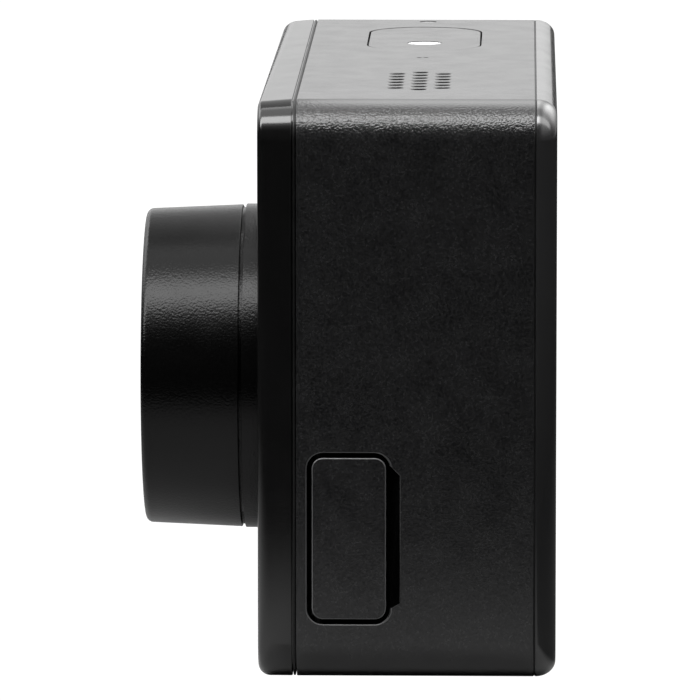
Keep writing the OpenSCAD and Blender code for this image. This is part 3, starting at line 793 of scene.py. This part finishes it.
def rear_bezel():
    """Frame round the touch glass, curved all the way over to the rear face."""
    screen_low, screen_high = box("screen_glass")
    gap = 0.16
    width = 2 * screen_high.x + gap
    height = screen_high.z - screen_low.z + gap
    ledge_in, ledge_y, ledge_r = 2.5, BEZEL_Y + 0.5, 1.2
    curve_in, curve_y = 1.2, BEZEL_Y + 0.06
    opening_r, chamfer = 1.55, 0.06

    def opening_ring(y, grow, radius):
        points = outline(width + 2 * grow, height + 2 * grow, radius)
        return [Vector((x, y, MID_Z + z)) for x, z in points]

    rings = [opening_ring(y, -ledge_in, ledge_r) for y in (ledge_y, BEZEL_Y)]
    rings += [case_ring(BEZEL_Y, 0.05), case_ring(BEZEL_Y + 0.03, 0.01)]
    depth = REAR_Y - BEZEL_Y - 0.06
    for y, inset in arc(curve_y, curve_in, depth, curve_in, 270, 360, 16):
        rings.append(case_ring(y, inset))
    rings += [opening_ring(REAR_Y, 0.08, 1.6), opening_ring(REAR_Y - chamfer, 0, opening_r)]
    rings += [opening_ring(ledge_y, 0, opening_r)]
    obj = loft("rear_bezel_frame", rings, closed=True)
    shade(obj)
    place(obj, "bezel_plastic", "rear_bezel")


def screen_glass():
    """Touch glass with polished, rounded edges."""
    low, high = box("screen_glass")
    width, height = high.x - low.x, high.z - low.z
    edge, corner = 0.22, 1.45

    def ring(y, inset):
        points = outline(width - 2 * inset, height - 2 * inset, corner - inset)
        return [Vector((x, y, MID_Z + z)) for x, z in points]

    rings = [ring(low.y, 0.05), ring(low.y + 0.05, 0)]
    rings += [ring(y, inset) for y, inset in arc(high.y - edge, edge, edge, edge, 270, 360, 6)]
    obj = loft("screen_glass_plate", rings)
    shade(obj, 50)
    place(obj, "screen_glass", "screen_glass")


# ---------------------------------------------------------------- lens
def lens_barrel():
    """Tapered tube with a rounded rim and a stepped inner slope."""
    low, high = barrel_low, barrel_high
    rear_r = (high.x - low.x) / 2
    taper = 0.29
    front_r = rear_r - taper
    rim = 0.5
    section = arc(front_r - rim, low.y + rim, rim, rim, 0, -90, 8)
    section += [(10.75, low.y), (10.62, low.y + 0.06)]
    slope_r, slope_y = 10.52, low.y + 0.1
    ledge_y = low.y + 1.25
    steps = 7
    for i in range(steps):
        t = i / steps
        y = slope_y + (ledge_y - slope_y) * t
        r = slope_r - (slope_r - LIP_R) * t
        section += [(r, y), (r - 0.04, y + 0.1), (r - 0.12, y + 0.12)]
    seat_y = glass_low.y - HAIR
    section += [(LIP_R, ledge_y), (LIP_R, seat_y), (BORE_R, seat_y), (BORE_R, high.y)]
    section += [(rear_r - 0.07, high.y), (rear_r - HAIR, high.y - HAIR), (rear_r, high.y - 0.07)]
    obj = turn("lens_barrel_shell", section)
    shade(obj, 28)
    place(obj, "barrel_paint", "lens_barrel")


def lens_base_ring():
    """Ring on the cover, with the dark groove in front of it."""
    low, high = box("lens_base_ring")
    radius = (high.x - low.x) / 2
    groove_y = barrel_high.y + 0.01
    front = barrel_high.y + 0.24
    tail_r = 10.0
    section = [(THROAT_R, low.y), (NECK_R, low.y), (NECK_R, groove_y)]
    section += [(GROOVE_R, groove_y), (GROOVE_R, front), (radius - 0.07, front)]
    section += [(radius - HAIR, front + HAIR), (radius, front + 0.07), (radius, FRONT_Y)]
    section += [(tail_r, FRONT_Y), (tail_r, high.y), (THROAT_R, high.y)]
    obj = turn("lens_base_shell", section)
    # The groove is shallower at its top and bottom, so that no daylight shows through it.
    filled, fill_from, fill_over = 0.06, 0.94, 0.045
    for vert in obj.data.vertices:
        across, up = vert.co.x / MM - LENS.x, vert.co.z / MM - LENS.z
        if abs(math.hypot(across, up) - GROOVE_R) < 0.01:
            grow = 1 + filled * unit((abs(up) / GROOVE_R - fill_from) / fill_over)
            vert.co.x = (LENS.x + across * grow) * MM
            vert.co.z = (LENS.z + up * grow) * MM
    shade(obj, 28)
    place(obj, "barrel_paint", "lens_base_ring")


def lens_trim_ring():
    """Sloping ring behind the front lip, with fine concentric grooves."""
    low, high = box("lens_trim_ring")
    outer = (high.x - low.x) / 2
    inner = 8
    grooves = 8
    slope = 0.5
    section = [(outer, high.y), (outer, low.y)]
    for i in range(grooves):
        r = outer - 0.06 - (outer - inner - 0.1) * i / grooves
        y = low.y + slope * (i + 1) / grooves
        section += [(r, y - 0.06), (r - 0.05, y + 0.02)]
    section += [(inner, low.y + 0.6), (inner, high.y)]
    obj = turn("lens_trim_shell", section)
    shade(obj, 20)
    place(obj, "barrel_paint", "lens_trim_ring")


def lens_cover_glass():
    """Flat front window with a ground edge."""
    radius = (glass_high.x - glass_low.x) / 2
    edge = 0.1
    section = [(0, glass_low.y), (radius - edge, glass_low.y), (radius, glass_low.y + edge)]
    section += [(radius, glass_high.y - edge), (radius - edge, glass_high.y), (0, glass_high.y)]
    obj = turn("lens_window", section, closed=False)
    shade(obj, 20)
    place(obj, "cover_glass", "lens_cover_glass")


def front_element():
    """The strongly domed first lens element."""
    low, high = box("front_element")
    radius = (high.x - low.x) / 2
    bulge, hollow = 1.4, 0.9
    rim = 0.3
    steps = 24

    def cap(r, depth):
        """How far a spherical face of that depth has fallen away at a radius."""
        ball = (radius * radius + depth * depth) / (2 * depth)
        return ball - math.sqrt(ball * ball - r * r)

    section = []
    for i in range(steps + 1):
        r = radius * i / steps
        section.append((r, low.y + cap(r, bulge)))
    section.append((radius, high.y))
    for i in range(1, steps + 1):
        r = (radius - rim) * (1 - i / steps)
        section.append((r, high.y - hollow + cap(r, hollow)))
    obj = turn("front_lens", section, closed=False)
    shade(obj, 35)
    place(obj, "lens_glass", "front_element")


# ---------------------------------------------------------------- controls and doors
def shutter_button():
    """The CAD button with a rounded upper edge; the rim of its light stays crisp."""
    obj = copy_of("shutter_button", "shutter_cap")
    top = box("shutter_button")[1].z
    light = middle("button_light")

    def width_at(p):
        at_light = (p.xy - light.xy).length < 2
        return 0 if p.z < top - 0.01 or at_light else 0.045

    soften(obj, width_at)
    shade(obj)
    place(obj, "frame_plastic", "shutter_button", "shutter")


def dome(name, node, mat, body, axis, crown):
    """Round window with a slightly domed outer face, facing +Z or -Y."""
    low, high = box(node)
    centre = (low + high) / 2
    radius = (high.x - low.x) / 2
    if axis == "Z":
        start, end, side = low.z, high.z, 1
    else:
        start, end, side = high.y, low.y, -1
    section = [(0, start), (radius, start), (radius, end - side * crown)]
    section += arc(0, end - side * crown, radius, side * crown, 6, 90, 8)
    obj = turn(name, section, centre, axis, 72, closed=False)
    shade(obj, 40)
    place(obj, mat, node, body)


def usb_door():
    """Panel with a rounded outer edge and the hinge barrel along one side."""
    low, high = box("usb_door")
    pin_low, pin_high = box("usb_door_pin")
    pin = (pin_low + pin_high) / 2
    centre = (low + high) / 2
    width, height = high.y - low.y, high.z - low.z
    edge = 0.1
    thickness, chamfer = 0.78, 0.04

    def ring(x, inset):
        points = outline(width - 2 * inset, height - 2 * inset, DOOR_CORNER_R - inset, 10)
        return [Vector((x, centre.y + y, centre.z + z)) for y, z in points]

    rings = [ring(high.x - thickness, chamfer), ring(high.x - thickness + chamfer, 0)]
    for degrees in range(0, 91, 15):
        a = math.radians(degrees)
        rings.append(ring(high.x - edge * (1 - math.sin(a)), edge * (1 - math.cos(a))))
    obj = loft("usb_door_panel", rings)
    barrel_r, bore_r = 0.47, 0.29
    up = (0, 0, 1)
    combine(obj, rod("barrel", (pin.x, pin.y, low.z + 1), up, barrel_r, height - 2), "UNION")
    combine(obj, rod("bore", (pin.x, pin.y, low.z - 1), up, bore_r, height + 2, 32))
    shade(obj)
    place(obj, "frame_plastic", "usb_door", "port_hatch")


def battery_door():
    """The CAD door with a rounded outline; the edges round its latch are finer."""
    obj = copy_of("battery_door", "battery_door_panel")
    low = box("battery_door")[0]

    def width_at(p):
        if p.z > low.z + 0.01:
            return 0
        at_latch = abs(p.y) <= 3.5 and -14 <= p.x <= -7
        return 0.05 if at_latch else 0.1

    soften(obj, width_at)
    shade(obj)
    place(obj, "frame_plastic", "battery_door", "battery_hatch")


def door_latch():
    """The CAD latch with its outer edges rounded."""
    obj = copy_of("door_latch", "latch_slider")
    soften(obj, lambda p: 0.05 if p.z < 0.5 else 0)
    shade(obj)
    place(obj, "latch_plastic", "door_latch", "latch")


def tripod_nut():
    """Flanged insert with a real helical thread."""
    low, high = box("tripod_nut")
    pitch, bore_r, thread_depth = 1.27, 2.6, 0.5
    rise = pitch / 10
    depth = 5.5
    lead_in, run_out = 0.3, 0.3
    body_r, flange_r = 4.2, (high.x - low.x) / 2
    chamfer, break_edge = 0.2, 0.05
    flange_low, flange_high = 1.52, 2.5

    def threaded(height):
        def radius(a):
            phase = (height / pitch - a / (2 * math.pi)) % 1
            left = depth - run_out - height
            fade = min(1, left / pitch) if left > 0 else 0
            ridge = max(0, min(1, 2.2 * (0.5 - abs(phase - 0.5)) - 0.05))
            return bore_r + thread_depth * ridge * fade
        return radius

    section = [(0, depth), (bore_r, depth)]
    count = int((depth - 0.35) / rise)
    for i in range(count, -1, -1):
        height = lead_in + i * rise
        if height < depth - 0.05:
            section.append((threaded(height), height))
    section += [(bore_r + 0.62, 0.1), (bore_r + 0.7, HAIR), (body_r - 0.15, 0), (body_r, 0.15)]
    section += [(body_r, flange_low), (flange_r - break_edge, flange_low)]
    section += [(flange_r, flange_low + break_edge), (flange_r, flange_high - break_edge)]
    section += [(flange_r - break_edge, flange_high), (body_r, flange_high)]
    section += [(body_r, high.z - chamfer), (body_r - chamfer, high.z), (0, high.z)]
    obj = turn("tripod_insert", section, (0, 0, 0), "Z", 96, closed=False)
    shade(obj, 30)
    place(obj, "pin_steel", "tripod_nut")


def inner_pieces():
    """CAD nodes that keep their own shape get their slot's material and softer edges."""
    slot_of = {row["node"]: row["material_slot"] for row in frame["record"]["subparts"]}
    for name, node in nodes.items():
        if node.hide_render:
            continue
        node.data.materials.clear()
        node.data.materials.append(MATERIALS[slot_of[name]])
        edge = node.modifiers.new("edges", "BEVEL")
        edge.width = 0.04 * MM
        edge.segments = 2
        edge.limit_method = "ANGLE"
        edge.angle_limit = math.radians(50)
        shade(node, 35)


def build():
    """Every piece, from the front of the case to the inside."""
    front_cover()
    seam_gasket()
    rear_gasket()
    mid_frame()
    rear_bezel()
    screen_glass()
    lens_barrel()
    lens_base_ring()
    lens_trim_ring()
    lens_cover_glass()
    front_element()
    shutter_button()
    dome("shutter_light", "button_light", "light_white", "shutter", "Z", 0.05)
    dome("top_window", "top_light", "light_dark", "camera", "Z", 0.02)
    dome("front_window", "front_light", "light_dark", "camera", "Y", 0.05)
    usb_door()
    battery_door()
    door_latch()
    tripod_nut()
    inner_pieces()


build()


# ---------------------------------------------------------------- floor, light and camera
def sheet(name, x, y, z, mat):
    """Flat rectangle between two X and two Y places, in metres."""
    mesh = bpy.data.meshes.new(name)
    corners = [(x[0], y[0], z), (x[1], y[0], z), (x[1], y[1], z), (x[0], y[1], z)]
    mesh.from_pydata(corners, [], [(0, 1, 2, 3)])
    obj = new_object(name, mesh)
    obj.data.materials.append(mat)
    return obj


def mix_shaders(tree, amount, first, second):
    """The first shader where the amount is 0, the second where it is 1."""
    node = tree.nodes.new("ShaderNodeMixShader")
    tree.links.new(amount, node.inputs["Fac"])
    tree.links.new(first, node.inputs[1])
    tree.links.new(second, node.inputs[2])
    return node.outputs["Shader"]


def floor():
    """White table, seen from above only. Its colour is painted light and shade: the light that it
    throws back fades out a little way from the object, is strongest under the lens and ends at the
    bezel."""
    mat, tree, bsdf = shader("floor_white", (0.6, 0.6, 0.6), 0.9, Specular_IOR_Level=0)
    x, y, _ = axes(tree)
    half, brightness = 1.3, 1.1
    black = (0.0, 0.0, 0.0)
    dim, bright = (0.2, 0.2, 0.2), (0.38, 0.38, 0.38)
    ahead = math_node(tree, "MAXIMUM", x, 0)
    aside = math_node(tree, "MULTIPLY", y, 0.8)
    squares = [math_node(tree, "POWER", value, 2) for value in (ahead, aside)]
    far = math_node(tree, "SQRT", math_node(tree, "ADD", *squares))
    fade = spread(tree, far, 1, 0, 0.025, 0.115, "SMOOTHSTEP")
    open_y = spread(tree, y, 1, 0, -0.013, -0.007)
    open_x = spread(tree, x, 0, 1, 0.0, 0.02)
    # Painted pool of light: a brighter floor tone beside the lens.
    painted_pool = tint(tree, math_node(tree, "MULTIPLY", open_x, open_y), dim, bright)
    # Painted shade: the floor turns black behind the bezel.
    behind = spread(tree, y, 0, 0.8, 0.0112, 0.0128)
    colour(tree, bsdf, fade, black, tint(tree, behind, painted_pool, black))
    glow = tree.nodes.new("ShaderNodeEmission")
    glow.inputs["Strength"].default_value = brightness
    seen = tree.nodes.new("ShaderNodeLightPath").outputs["Is Camera Ray"]
    below = tree.nodes.new("ShaderNodeNewGeometry").outputs["Backfacing"]
    clear = tree.nodes.new("ShaderNodeBsdfTransparent").outputs["BSDF"]
    top = mix_shaders(tree, seen, bsdf.outputs["BSDF"], glow.outputs["Emission"])
    surface = mix_shaders(tree, below, top, clear)
    tree.links.new(surface, tree.nodes["Material Output"].inputs["Surface"])
    sheet("floor", (-half, half), (-half, half), 0, mat)


def card():
    """Grey card over the lens, which keeps the ceiling out of the barrel's reflection. The
    camera doesn't see it."""
    mat, tree, _ = shader("card_grey", (0.0, 0.0, 0.0), 1.0)
    glow = tree.nodes.new("ShaderNodeEmission")
    tree.links.new(spread(tree, noise(tree, 30, 1), 0.72, 0.78), glow.inputs["Strength"])
    seen = tree.nodes.new("ShaderNodeLightPath").outputs["Is Camera Ray"]
    clear = tree.nodes.new("ShaderNodeBsdfTransparent").outputs["BSDF"]
    surface = mix_shaders(tree, seen, glow.outputs["Emission"], clear)
    tree.links.new(surface, tree.nodes["Material Output"].inputs["Surface"])
    sheet("card", (-0.2, 0.004), (-0.06, -0.0112), 0.11, mat)


def world():
    """Studio: a large light above the port side, a ceiling and a wall on either side. The
    camera sees white."""
    scene = bpy.context.scene
    scene.world = bpy.data.worlds.new("studio")
    scene.world.use_nodes = True
    tree = scene.world.node_tree
    coords = tree.nodes.new("ShaderNodeTexCoord")
    split = tree.nodes.new("ShaderNodeSeparateXYZ")
    tree.links.new(coords.outputs["Generated"], split.inputs["Vector"])
    x, y, z = (split.outputs[k] for k in "XYZ")

    # Brightness round the Y axis: degrees from +X up over the zenith to -X.
    arch = ((0, 0.01), (28, 0.02), (40, 0.35), (49, 1.6), (53, 12), (71, 12), (75, 2.4),
            (100, 2.2), (110, 4.2), (130, 4.2), (146, 2.4), (158, 1.05), (180, 0.9))
    peak = 12
    ramp = tree.nodes.new("ShaderNodeValToRGB")
    stops = ramp.color_ramp.elements
    while len(stops) < len(arch):
        stops.new(0.5)
    for stop, (angle, _) in zip(stops, arch):
        stop.position = angle / 180
    for stop, (_, level) in zip(stops, arch):
        stop.color = (level / peak, level / peak, level / peak, 1)
    angle = math_node(tree, "ARCTAN2", z, x)
    tree.links.new(spread(tree, angle, 0, 1, 0, math.pi), ramp.inputs["Fac"])

    def rise(value, start, end):
        return spread(tree, value, 0, 1, start, end, "SMOOTHSTEP")

    def fall(value, start, end):
        return spread(tree, value, 1, 0, start, end, "SMOOTHSTEP")

    def scaled(level, *masks):
        value = level
        for mask in masks:
            value = math_node(tree, "MULTIPLY", value, mask)
        return value

    across = math_node(tree, "ABSOLUTE", y)
    overhead = math_node(tree, "POWER", math_node(tree, "MAXIMUM", z, 0.1), 1.4)
    above = scaled(peak, ramp.outputs["Color"], fall(across, 0.8, 0.95),
                   spread(tree, y, 1, 0.3, 0.06, 0.3))
    screen_side = scaled(2.7, rise(y, 0.15, 0.5), overhead, spread(tree, x, 3.6, 1, -0.6, 0))
    lens_side = scaled(1.0, fall(y, -0.75, -0.5), rise(z, 0.35, 0.5), fall(z, 0.8, 0.9))
    total = 0.01
    for part in (above, screen_side, lens_side):
        total = math_node(tree, "ADD", total, part)
    seen = tree.nodes.new("ShaderNodeLightPath")
    shown = tint(tree, seen.outputs["Is Camera Ray"], total, (1.1, 1.1, 1.1))
    tree.links.new(shown, tree.nodes["Background"].inputs["Color"])


def camera():
    """Long lens that looks at the port side, from a little above the top face."""
    data = bpy.data.cameras.new("camera")
    data.lens = 411.0
    data.sensor_width = 36
    data.clip_start, data.clip_end = 0.05, 20
    cam = new_object("view", data)
    cam.location = (0.60026, 0.00829, 0.10225)
    pitch, yaw = 7.829, 1.2474
    cam.rotation_euler = (math.radians(90 - pitch), 0, math.radians(90 + yaw))
    bpy.context.scene.camera = cam


floor()
card()
world()
camera()
bpy.context.scene.view_settings.view_transform = "Standard"
